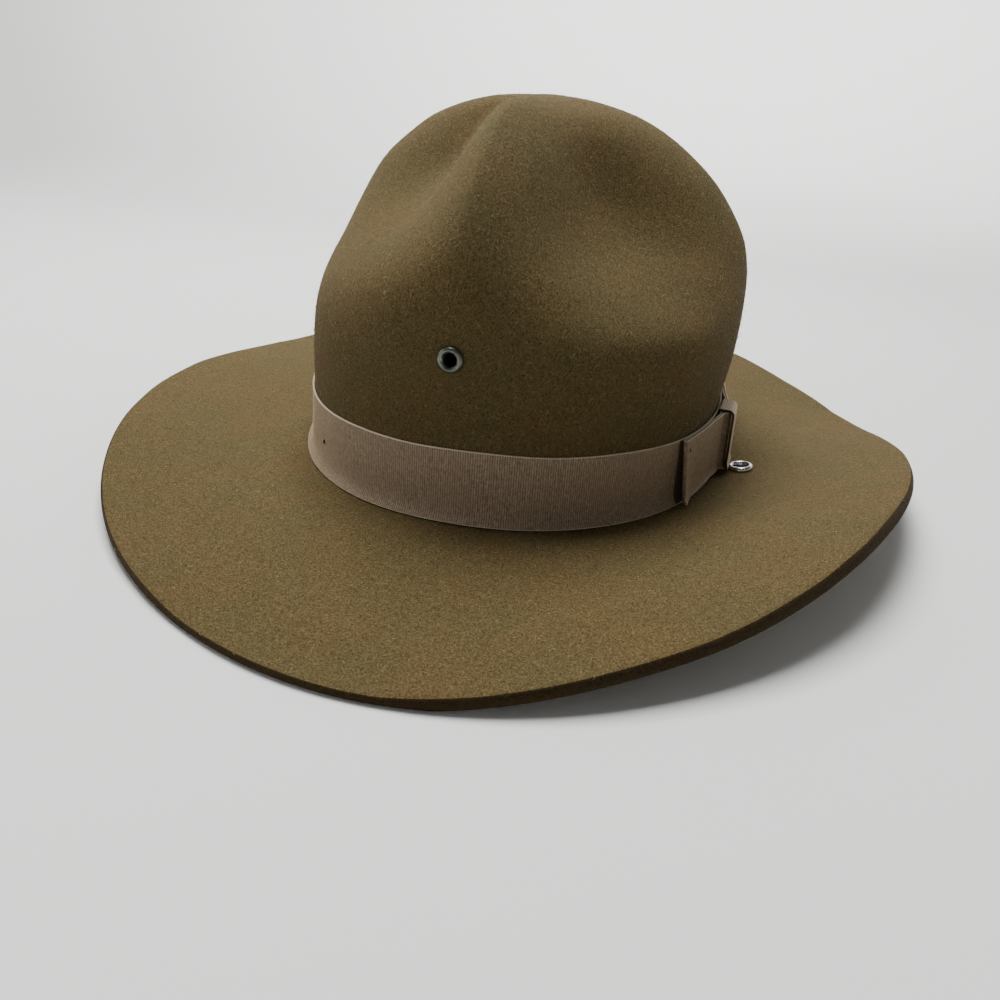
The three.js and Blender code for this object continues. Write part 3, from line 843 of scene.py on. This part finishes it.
def ribbon_point(turn, share, stand):
    """Point off the felt by a distance, at a share of the ribbon's height."""
    foot = wall_point(turn, RIBBON_LIFT) + outward(turn) * break_flare(RIBBON_LIFT)
    top = wall_point(turn, RIBBON_LIFT + RIBBON_HEIGHT)
    share = np.asarray(share)
    flare = FOOT_FLARE * np.clip(1 - share / FLARE_SHARE, 0, 1) ** FLARE_CURL
    stand_off = outward(turn) * (np.asarray(stand) + flare)[..., None]
    return foot + (top - foot) * share[..., None] + stand_off


ribbon_front = ribbon_point(np.array(0.0), 0.5, FIT_GAP) + HAT_PLACE
print("middle of the band in front, mm:", ribbon_front.round(1).tolist())

# %% Ribs and woven edges
RIB_PITCH = 0.8
RIB_HEIGHT = 0.16
RIB_SAMPLES = 4  # points to one rib
RIB_FULLNESS = 0.8  # under 1, a rib is wider than its groove
SELVAGE = 0.12  # how much the woven edge stands up

# Where the rows of points lie across a ribbon, close together at the woven edges
ACROSS = np.array((0, 0.01, 0.03, 0.07, 0.14, 0.35, 0.5, 0.65, 0.8, 0.93, 0.97, 0.99, 1))
SELVAGE_SHAPE = np.array((0.2, 1, 0.6, 0, 0, 0, 0, 0, 0, 0, 0.6, 1, 0.2))
# The back is plain, so that every fourth row is enough
ACROSS_BACK, SELVAGE_BACK = ACROSS[::-4], SELVAGE_SHAPE[::-4]
FRONT_ROWS, LAST_ROW = len(ACROSS), len(ACROSS) + len(ACROSS_BACK) - 1
EDGE_ROWS = (0, FRONT_ROWS - 2, FRONT_ROWS - 1, LAST_ROW)


def rib_wave(length):
    """Height of the ribs at a length along a ribbon, from 0 in a groove to 1."""
    return np.abs(np.sin(math.pi * length / RIB_PITCH)) ** RIB_FULLNESS


def note_ribs(piece, rib, rows):
    """Writes the ribs' height on every point of a ribbon's grid, for its finish."""
    heights = piece.data.attributes.new("rib", "FLOAT", "POINT")
    heights.data.foreach_set("value", np.tile(rib, rows))


print("rows of points round a ribbon:", LAST_ROW + 1)

# %% Make the band
MEASURE_STEPS = 7200  # steps round the crown that measure the band's length

fine = np.linspace(0, 2 * math.pi, MEASURE_STEPS + 1)
measured = ribbon_point(fine, 0.5 + 0 * fine, 1 + 0 * fine)
steps = np.linalg.norm(np.diff(measured, axis=0), axis=1)
band_length = np.concatenate([[0], np.cumsum(steps)])
rib_count = round(band_length[-1] / RIB_PITCH)
band_stations = np.linspace(0, band_length[-1], rib_count * RIB_SAMPLES, endpoint=False)
band_turn = np.interp(band_stations, band_length, fine)
rib = rib_wave(band_stations * rib_count * RIB_PITCH / band_length[-1])
# A ribbon sewn by hand wanders up and down by a few tenths of a millimetre
wander = (0.25 * np.sin(3 * band_turn + 1) + 0.15 * np.sin(11 * band_turn)) / RIBBON_HEIGHT
band_rows = []
for share, edge_height in zip(ACROSS, SELVAGE_SHAPE):
    stand = FIT_GAP + RIBBON_WALL + (rib - 1) * RIB_HEIGHT + edge_height * SELVAGE
    band_rows.append(ribbon_point(band_turn, share + wander * share, stand))
for share in ACROSS_BACK:
    stand = np.full_like(rib, FIT_GAP)
    band_rows.append(ribbon_point(band_turn, share + wander * share, stand))
hat_band = piece_from_grid("grosgrain_band", np.array(band_rows))
note_ribs(hat_band, rib, len(band_rows))
face_outwards(hat_band)
# The band's edge rows get the painted highlight
mark_rows(hat_band, EDGE_ROWS, len(band_turn))
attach(hat_band, "root")
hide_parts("hat_band")
print("band:", rib_count, "ribs,", round(float(band_length[-1]), 1), "mm round")

# %% [markdown]
# ## The ribbon's finish
#
# The ribbon is woven of cotton and rayon. It looks dull from most sides and softly bright at a
# slant. Each rib is one thick thread and differs a little from the next, fine warp threads cross it,
# and dust and wear leave paler clouds. The grooves are painted dark, as painted shade between the
# ribs, over the worn clouds too. They could be painted in by hand, rib by rib. Here each point of the
# ribbon carries its rib's height, and the finish reads it. The warp is about 0.25 mm apart and is
# drawn 0.35 mm wide, so that its grain shows.

# %% Name the ribbon's patterns
WEAR_SIZE = 9 * MM  # paler clouds where it was handled
THREAD_SIZE, WARP_SIZE = 0.7 * MM, 0.35 * MM
THREAD_STRETCH = 0.5  # under 1, a thread's own shade runs along its rib
WEAVE_DEPTH = 0.08 * MM  # how far the warp threads seem to stand up
print("warp threads, mm:", round(WARP_SIZE / MM, 2), "rib's shade, mm:", round(THREAD_SIZE / MM, 2))

# %% Mix the ribbon


def ribbon_finish(name, dark, light, worn_hex, groove_shade_hex):
    """Woven thread: ribs that differ a little, fine warp across them, and paler worn clouds."""
    finish, shader, place = new_material(name)
    worn = add_node(
        finish, "ShaderNodeTexNoise", {"Vector": place, "Scale": 1 / WEAR_SIZE, "Detail": 5.0}
    )
    upright = add_node(
        finish, "ShaderNodeMapping", {"Vector": place, "Scale": (1.0, 1.0, THREAD_STRETCH)}
    )
    threads = add_node(
        finish,
        "ShaderNodeTexNoise",
        {"Vector": upright.outputs[0], "Scale": 1 / THREAD_SIZE, "Detail": 1.0},
    )
    warp = add_node(
        finish, "ShaderNodeTexNoise", {"Vector": place, "Scale": 1 / WARP_SIZE, "Detail": 1.0}
    )
    grain = add_node(
        finish, "ShaderNodeMath", {0: threads.outputs[0], 1: warp.outputs[0]}, operation="ADD"
    )
    shade = add_node(
        finish,
        "ShaderNodeMapRange",
        {"Value": grain.outputs[0], "From Min": 0.74, "From Max": 1.26},
    )
    base = add_node(
        finish,
        "ShaderNodeMix",
        {"Factor": shade.outputs[0], 6: colour(dark), 7: colour(light)},
        data_type="RGBA",
    )
    faded = add_node(
        finish,
        "ShaderNodeMapRange",
        {"Value": worn.outputs[0], "From Min": 0.4, "From Max": 0.7, "To Max": 0.45},
    )
    mixed = add_node(
        finish,
        "ShaderNodeMix",
        {"Factor": faded.outputs[0], 6: base.outputs[2], 7: colour(worn_hex)},
        data_type="RGBA",
    )
    rib_height = add_node(finish, "ShaderNodeAttribute", attribute_name="rib")
    # Painted shade: the grooves between the ribs are darkened by the ribs' height
    groove = add_node(
        finish,
        "ShaderNodeMapRange",
        {"Value": rib_height.outputs["Fac"], "From Max": 0.9, "To Min": 0.75, "To Max": 0.0},
    )
    groove_shaded = add_node(
        finish,
        "ShaderNodeMix",
        {"Factor": groove.outputs[0], 6: mixed.outputs[2], 7: colour(groove_shade_hex)},
        data_type="RGBA",
    )
    weave = add_node(
        finish,
        "ShaderNodeBump",
        {"Height": warp.outputs[0], "Strength": 0.4, "Distance": WEAVE_DEPTH},
    )
    join(finish, groove_shaded.outputs[2], shader, "Base Color")
    join(finish, weave.outputs[0], shader, "Normal")
    shader.inputs["Roughness"].default_value = 0.65
    shader.inputs["Specular IOR Level"].default_value = 0.35
    shader.inputs["Sheen Weight"].default_value = 0.7
    shader.inputs["Sheen Tint"].default_value = colour("#e0cba2")
    return finish


# Woven grosgrain: light ribs, painted shade in the grooves, and a soft bloom where seen at a slant
ribbon = ribbon_finish("woven_grosgrain_ribbon", "#77614d", "#ac9780", "#96816b", "#43352a")
# The ribbon's edges: painted highlight, a thin pale line where the edges catch the light
edge_highlight_finish = ribbon_finish("woven_ribbon_edge_painted_highlight", "#c2b299", "#ddd0b8", "#d0c2a9", "#a6967e")
hat_band.data.materials.append(ribbon)
hat_band.data.materials.append(edge_highlight_finish)
print("ribbon nodes:", len(ribbon.node_tree.nodes))

# %% [markdown]
# ## Painted shade on the ribbon
#
# The band behind the bow is painted darker, as painted shade under the bow, and the keeper's edges
# are painted nearly black, as painted shade that draws its outline. Both are finishes on the ribbon's
# own faces, because both lie as flat as the ribbon.

# %% Paint shade under the bow and on the keeper's edges
BOW_TURN = math.radians(83)
BOW_LENGTH = 93.0

# Painted shade on the keeper's edges: nearly black, and it draws the keeper's outline
keeper_edge_shade = ribbon_finish("keeper_edge_painted_shade", "#241b12", "#33281b", "#2b2117", "#120d08")
# Painted shade on the band under the bow: the same weave, much darker
under_bow_shade = ribbon_finish(
    "painted_shade_under_the_bow", "#33271c", "#43352a", "#3a2d22", "#1b140d"
)
turn_reach = np.linalg.norm(
    break_oval(np.array(BOW_TURN)) - break_oval(np.array(BOW_TURN + SLOPE_STEP))
)
covered_turn = BOW_LENGTH / 2 * SLOPE_STEP / turn_reach
is_covered = np.tile(np.abs(band_turn - BOW_TURN) < covered_turn, len(band_rows))
finish_of = np.empty(len(is_covered), np.int32)
hat_band.data.polygons.foreach_get("material_index", finish_of)
finish_of[is_covered & (finish_of == 0)] = 2
hat_band.data.polygons.foreach_set("material_index", finish_of)
hat_band.data.materials.append(under_bow_shade)
print("unfaded faces of the band:", int((finish_of == 2).sum()))

# %% [markdown]
# ## The bow and its keeper
#
# The bow is one piece of ribbon folded into a flat loop, and a short ring of the same ribbon, the
# keeper, holds its middle. Cloth simulation could fold them, but a pressed bow is flat and stiff.
# Instead both are strips that follow a line, the bow round its loop and the keeper round the bow.
# The keeper's ribs lie level, because its length runs up and down.

# %% Name the bow's sizes
BOW_HEIGHT, BOW_RAISE, BOW_WALL = 23.4, 0.9, 0.5
BOW_FOLD, BOW_PARTING = 0.6, 1.5  # half its thickness at the ends, and how late its sides part
BOW_SETTLE_START, BOW_SETTLE_END = 0.18, 0.45  # where it comes down from the keeper to the band
BOW_END_LIFT, BOW_END_CURL = 1.0, 8  # how far its ends stand off, and how late they curl
BOW_FOOT_LIFT = 2.5  # how much further the foot of each end stands off
BOW_PLEAT, PLEAT_MARGIN, PLEAT_SLOPE = 2.2, 1, 2.5  # the pleat that the keeper gathers
KEEPER_WIDTH, KEEPER_WALL, KEEPER_SLACK = 13.0, 0.9, 2.7
KEEPER_ROUND, KEEPER_CORNER = 1.8, 0.6  # radius of its corners in front and behind
KEEPER_BACK = FIT_GAP + RIBBON_WALL + FIT_GAP
BOW_BACK = KEEPER_BACK + KEEPER_WALL + FIT_GAP
BOW_FRONT = BOW_BACK + 2 * BOW_WALL + FIT_GAP
KEEPER_FRONT = BOW_FRONT + FIT_GAP + KEEPER_SLACK + KEEPER_WALL
print("bow from the felt, mm:", round(BOW_BACK, 2), "to", round(BOW_FRONT, 2))

# %% Turn a line into a strip of ribbon


def bow_turn(length):
    """Turn round the crown that takes up a length of ribbon beside the keeper."""
    return BOW_TURN + length * SLOPE_STEP / turn_reach


def even_line(line, step):
    """A closed line with points an even step apart, and their lengths along it."""
    closed = np.vstack([line, line[:1]])
    lengths = np.concatenate([[0], np.cumsum(np.linalg.norm(np.diff(closed, axis=0), axis=1))])
    count = round(lengths[-1] / step)
    wanted = np.linspace(0, lengths[-1], count, endpoint=False)
    return np.stack([np.interp(wanted, lengths, closed[:, axis]) for axis in (0, 1)], -1), wanted


def strip_normals(line):
    """Directions square to a closed line, to its left."""
    tangent = np.roll(line, -1, 0) - np.roll(line, 1, 0)
    tangent /= np.linalg.norm(tangent, axis=1, keepdims=True)
    return np.stack([-tangent[:, 1], tangent[:, 0]], -1)


def strip_piece(name, line, wall, place, edge_rows, edge_finish):
    """A ribbed ribbon along a closed line; place turns line points and a share across into space."""
    line, lengths = even_line(line, RIB_PITCH / RIB_SAMPLES)
    normals = strip_normals(line)
    rib = rib_wave(lengths)
    front, back = (1, ACROSS, SELVAGE_SHAPE), (-1, ACROSS_BACK, SELVAGE_BACK)
    rows = []
    for side, shares, edges in (front, back):
        for share, edge_height in zip(shares, edges):
            out = wall / 2 + (rib - 1) * RIB_HEIGHT + edge_height * SELVAGE * 0.5
            rows.append(place(line + normals * (side * out)[:, None], share))
    piece = piece_from_grid(name, np.array(rows))
    note_ribs(piece, rib, len(rows))
    face_outwards(piece)
    mark_rows(piece, edge_rows, len(line))
    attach(piece, "root")
    piece.data.materials.append(ribbon)
    piece.data.materials.append(edge_finish)
    return piece


# %% Make the bow
BOW_STEPS, FOLD_STEPS = 90, 14  # points along each side and round each fold
bow_half = BOW_LENGTH / 2 - BOW_FOLD
bow_closed = (BOW_FRONT - BOW_BACK - BOW_WALL) / 2


def bow_share(height):
    """Share of the ribbon's height for a height over the bow's middle."""
    return 0.5 + (BOW_RAISE + height) / RIBBON_HEIGHT


def bow_middle(share):
    """How far the loop's middle stands off: it settles on the band, and its ends curl out."""
    part = min(max((share - BOW_SETTLE_START) / (BOW_SETTLE_END - BOW_SETTLE_START), 0), 1)
    settled = part**2 * (3 - 2 * part) * (BOW_BACK - KEEPER_BACK)
    return (BOW_BACK + BOW_FRONT) / 2 - settled + BOW_END_LIFT * share**BOW_END_CURL


# Once round the loop: its outer side, one fold, its inner side and the other fold
bow_line = []
for side in (1, -1):
    for distance in side * bow_half * np.linspace(-1, 1, BOW_STEPS, endpoint=False):
        share = abs(distance) / bow_half
        parting = bow_closed + (BOW_FOLD - bow_closed) * share**BOW_PARTING
        into_pleat = (KEEPER_WIDTH / 2 + PLEAT_MARGIN - abs(distance)) / PLEAT_SLOPE
        pleat = BOW_PLEAT * min(max(into_pleat, 0), 1) if side > 0 else 0
        bow_line.append((distance, bow_middle(share) + side * parting + pleat))
    for turn in np.linspace(0, math.pi, FOLD_STEPS, endpoint=False):
        reach_out = side * (bow_half + BOW_FOLD * math.sin(turn))
        bow_line.append((reach_out, bow_middle(1) + side * BOW_FOLD * math.cos(turn)))


def bow_place(line, share):
    """Point in space for points of the bow's line at a share of its height."""
    turns = bow_turn(line[:, 0])
    shares = np.full(len(line), bow_share((share - 0.5) * BOW_HEIGHT))
    foot_lift = BOW_FOOT_LIFT * (1 - share) * (np.abs(line[:, 0]) / bow_half) ** BOW_END_CURL
    return ribbon_point(turns, shares, line[:, 1] + foot_lift)


# The bow's edge rows get the painted highlight
bow = strip_piece("grosgrain_bow", np.array(bow_line), BOW_WALL, bow_place, EDGE_ROWS, edge_highlight_finish)
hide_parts("bow_loop")
print("bow faces:", len(bow.data.polygons))

# %% Make the keeper
CORNER_POINTS = 9
KEEPER_SHADE_ROWS = (0, *range(FRONT_ROWS - 4, FRONT_ROWS), LAST_ROW)  # rows painted with shade along the keeper's edges
keeper_top = BOW_HEIGHT / 2 + FIT_GAP + KEEPER_WALL / 2
keeper_front, keeper_back = KEEPER_FRONT - KEEPER_WALL / 2, KEEPER_BACK + KEEPER_WALL / 2
keeper_corners = (
    (keeper_top - KEEPER_ROUND, keeper_front - KEEPER_ROUND, KEEPER_ROUND),
    (keeper_top - KEEPER_CORNER, keeper_back + KEEPER_CORNER, KEEPER_CORNER),
    (KEEPER_CORNER - keeper_top, keeper_back + KEEPER_CORNER, KEEPER_CORNER),
    (KEEPER_ROUND - keeper_top, keeper_front - KEEPER_ROUND, KEEPER_ROUND),
)
keeper_line = [
    (height + radius * math.sin(turn), stand + radius * math.cos(turn))
    for corner, (height, stand, radius) in enumerate(keeper_corners)
    for turn in math.pi / 2 * (corner + np.linspace(0, 1, CORNER_POINTS))
]


def keeper_place(line, share):
    """Point in space for points of the keeper's line at a share of its width."""
    turns = np.full(len(line), bow_turn((0.5 - share) * KEEPER_WIDTH))
    return ribbon_point(turns, bow_share(line[:, 0]), line[:, 1])


keeper = strip_piece(
    "grosgrain_keeper", np.array(keeper_line), KEEPER_WALL, keeper_place, KEEPER_SHADE_ROWS, keeper_edge_shade
)
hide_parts("bow_keeper")
print("keeper faces:", len(keeper.data.polygons))

# %% [markdown]
# ## Tack stitches
#
# A few hand stitches in dark thread hold the band to the crown and the bow to the band. Each is a
# short bridge of thread: it comes out of the ribbon, lies on it and goes back in. A curve with a
# round bevel could draw it. Here it is a grid of rings like the other pieces, closed at both ends.
# The doubled thread is 0.7 mm thick.

# %% Mix the thread
TWIST_SIZE = 0.3 * MM  # the width of one strand of the thread

# Waxed cotton thread: nearly black, its strands a little uneven, with a dull gloss from the wax
thread, thread_shader, thread_place = new_material("waxed_cotton_thread")
twist = add_node(
    thread, "ShaderNodeTexNoise", {"Vector": thread_place, "Scale": 1 / TWIST_SIZE, "Detail": 2.0}
)
thread_colour = add_node(
    thread,
    "ShaderNodeMix",
    {"Factor": twist.outputs[0], 6: colour("#1c150d"), 7: colour("#3a2d1e")},
    data_type="RGBA",
)
join(thread, thread_colour.outputs[2], thread_shader, "Base Color")
thread_shader.inputs["Roughness"].default_value = 0.6
print("thread nodes:", len(thread.node_tree.nodes))

# %% Sew the tacks
THREAD_THICK, STITCH_LENGTH, STITCH_ROUND, STITCH_STEPS = 0.7, 1.5, 10, 15
STITCH_ARCH, STITCH_SINK = 1.2, 0.9  # how far it arches and how deep it starts, in thicknesses
BOW_TACK_SHARE = 0.96  # how far along the bow's half its tack lies
TACKS = {
    # name: (degrees round the crown, height over the brim, how far the ribbon stands off)
    "tack_stitch_band": (-39.6, 11.8, FIT_GAP + RIBBON_WALL),
    "tack_stitch_bow": (58.6, 21.3, bow_middle(BOW_TACK_SHARE) + BOW_FOLD + BOW_WALL / 2),
    "tack_stitch_back": (172.0, 14.0, FIT_GAP + RIBBON_WALL),
}
UPWARD = np.array((0.0, 0.0, 1.0))
spin = np.linspace(0, 2 * math.pi, STITCH_ROUND, endpoint=False)
for name, (degrees, height, stand) in TACKS.items():
    turn = np.array(math.radians(degrees))
    out = outward(turn)
    level = np.cross(UPWARD, out)
    middle = ribbon_point(turn, (height - RIBBON_LIFT) / RIBBON_HEIGHT, stand)
    sections = []
    for bend in np.linspace(0, math.pi, STITCH_STEPS):
        centre = middle + out * (THREAD_THICK * (STITCH_ARCH * math.sin(bend) - STITCH_SINK))
        centre = centre - UPWARD * (math.cos(bend) * STITCH_LENGTH / 2)
        rise = UPWARD * -math.cos(bend) + out * math.sin(bend)
        ring = level * np.cos(spin)[:, None] + rise * np.sin(spin)[:, None]
        sections.append(centre + ring * THREAD_THICK / 2)
    ends = [sections[0].mean(0), sections[-1].mean(0)]
    stitch = piece_from_grid(name, np.array(sections), ends)
    face_outwards(stitch)
    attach(stitch, "root")
    stitch.data.materials.append(thread)
print("tack stitches:", len(TACKS))

# %% [markdown]
# ## The eyelets
#
# An eyelet is a short tube of thin metal, rolled over on each side of the felt so that the hole
# can't tear. It could be a torus on a pipe. Here its section is drawn once and turned round the
# hole, because tube and rolls are one piece of metal. Two metals are mixed first.

# %% Mix the metals
RUB_SIZE = 1.2 * MM  # rubbed places, as wide as the rim that is rubbed
DENT_DEPTH = 0.05 * MM  # how deep rubbing seems to press the metal


def metal(name, base_hex, metallic, roughness, rubbed_hex):
    """A metal finish with fine rubbed places."""
    finish, shader, place = new_material(name)
    rubbed = add_node(
        finish, "ShaderNodeTexNoise", {"Vector": place, "Scale": 1 / RUB_SIZE, "Detail": 5.0}
    )
    amount = add_node(
        finish,
        "ShaderNodeMapRange",
        {"Value": rubbed.outputs[0], "From Min": 0.45, "From Max": 0.75, "To Max": 0.7},
    )
    mixed = add_node(
        finish,
        "ShaderNodeMix",
        {"Factor": amount.outputs[0], 6: colour(base_hex), 7: colour(rubbed_hex)},
        data_type="RGBA",
    )
    dents = add_node(
        finish,
        "ShaderNodeBump",
        {"Height": rubbed.outputs[0], "Strength": 0.2, "Distance": DENT_DEPTH},
    )
    join(finish, mixed.outputs[2], shader, "Base Color")
    join(finish, dents.outputs[0], shader, "Normal")
    shader.inputs["Metallic"].default_value = metallic
    shader.inputs["Roughness"].default_value = roughness
    return finish


METALS = {
    # Brass under dark lacquer: the lacquer keeps its tint and softens the highlight
    "dark_metal": metal("lacquered_brass", "#60635a", 0.8, 0.32, "#7b7e70"),
    # Nickel plate over a rolled rim: bright, with small hard reflections of lamps and felt
    "bright_metal": metal("rolled_nickel_plate", "#c9c9c8", 1.0, 0.24, "#a9a8a4"),
}
print("metals:", ", ".join(METALS))

# %% Make the eyelets
EYELET_ROUND = 56
ROLL_STEPS = 14


def eyelet_profile(hole, flange, roll):
    """Radius and height of the eyelet's section."""
    bore, rim = hole / 2, flange / 2
    front_seat, back_seat = FIT_GAP, -FELT_WALL - FIT_GAP
    section = [(bore + EYELET_WALL, back_seat), (bore + EYELET_WALL, front_seat)]
    for seat, side in ((front_seat, 1), (back_seat, -1)):
        for turn in np.linspace(0, math.pi, ROLL_STEPS + 1):
            radius = (rim + bore) / 2 + side * (rim - bore) * math.cos(turn) / 2
            section.append((radius, seat + side * roll * math.sin(turn)))
    return section


spin = np.linspace(0, 2 * math.pi, EYELET_ROUND, endpoint=False)
for name, (point, normal) in EYELETS.items():
    profile = eyelet_profile(*EYELET_SIZES[name.split("_")[0]])
    ring_grid = np.stack(
        [points(radius * np.cos(spin), radius * np.sin(spin), height) for radius, height in profile]
    )
    axes = np.array(Vector(normal).to_track_quat("Z", "Y").to_matrix())
    made = piece_from_grid("rolled_" + name, ring_grid @ axes.T + point)
    face_outwards(made)
    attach(made, "root")
    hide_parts(name)
    finish = "dark_metal" if name == "crown_eyelet" else "bright_metal"
    made.data.materials.append(METALS[finish])
    print(name, "faces:", len(made.data.polygons))

# %% [markdown]
# ## Sizes at the end
#
# The dressed hat has to stay as big as the imported one, though loose fibres may stand a little proud.
# The box round the dressed hat is measured and printed.

# %% Measure the dressed hat's box
low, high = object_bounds()
print("dressed hat, mm:", [round(side / MM, 1) for side in high - low])
